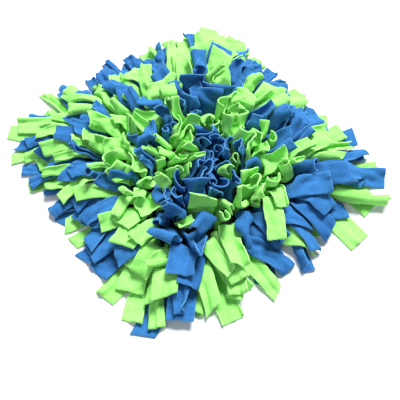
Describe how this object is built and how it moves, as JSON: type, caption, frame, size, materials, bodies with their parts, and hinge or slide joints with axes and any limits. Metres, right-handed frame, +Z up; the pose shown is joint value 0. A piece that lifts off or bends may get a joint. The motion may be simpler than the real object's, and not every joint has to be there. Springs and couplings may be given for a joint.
{
  "type": "snuffle mat",
  "caption": "Square snuffle mat with a thick pile of cut fleece strips in two colours, fanning out from the middle to lie flat past the base mat's edges.",
  "frame": {"origin": "middle of the base mat's underside, which rests on the surface", "axes": "+Z up, out of the pile; +X and +Y along the base mat's sides"},
  "size_m": [0.456, 0.4605, 0.081],
  "materials": {
    "fleece_blue": "matte royal blue polar fleece",
    "fleece_green": "matte lime green polar fleece",
    "base_black": "plain black base mat"
  },
  "bodies": {
    "root": {"base_mat": "base_black", "tuft_1_1": "fleece_blue", "tuft_1_2": "fleece_green", "tuft_1_3": "fleece_blue", "tuft_1_4": "fleece_blue", "tuft_1_5": "fleece_blue", "tuft_1_6": "fleece_green", "tuft_1_7": "fleece_green", "tuft_2_1": "fleece_green", "tuft_2_2": "fleece_blue", "tuft_2_3": "fleece_green", "tuft_2_4": "fleece_green", "tuft_2_5": "fleece_green", "tuft_2_6": "fleece_blue", "tuft_2_7": "fleece_green", "tuft_3_1": "fleece_green", "tuft_3_2": "fleece_blue", "tuft_3_3": "fleece_blue", "tuft_3_4": "fleece_green", "tuft_3_5": "fleece_green", "tuft_3_6": "fleece_blue", "tuft_3_7": "fleece_blue", "tuft_4_1": "fleece_blue", "tuft_4_2": "fleece_green", "tuft_4_3": "fleece_blue", "tuft_4_4": "fleece_green", "tuft_4_5": "fleece_green", "tuft_4_6": "fleece_green", "tuft_4_7": "fleece_blue", "tuft_5_1": "fleece_blue", "tuft_5_2": "fleece_green", "tuft_5_3": "fleece_green", "tuft_5_4": "fleece_green", "tuft_5_5": "fleece_blue", "tuft_5_6": "fleece_blue", "tuft_5_7": "fleece_green", "tuft_6_1": "fleece_green", "tuft_6_2": "fleece_blue", "tuft_6_3": "fleece_blue", "tuft_6_4": "fleece_green", "tuft_6_5": "fleece_blue", "tuft_6_6": "fleece_green", "tuft_6_7": "fleece_green", "tuft_7_1": "fleece_blue", "tuft_7_2": "fleece_green", "tuft_7_3": "fleece_blue", "tuft_7_4": "fleece_green", "tuft_7_5": "fleece_blue", "tuft_7_6": "fleece_green", "tuft_7_7": "fleece_green"}
  },
  "joints": []
}
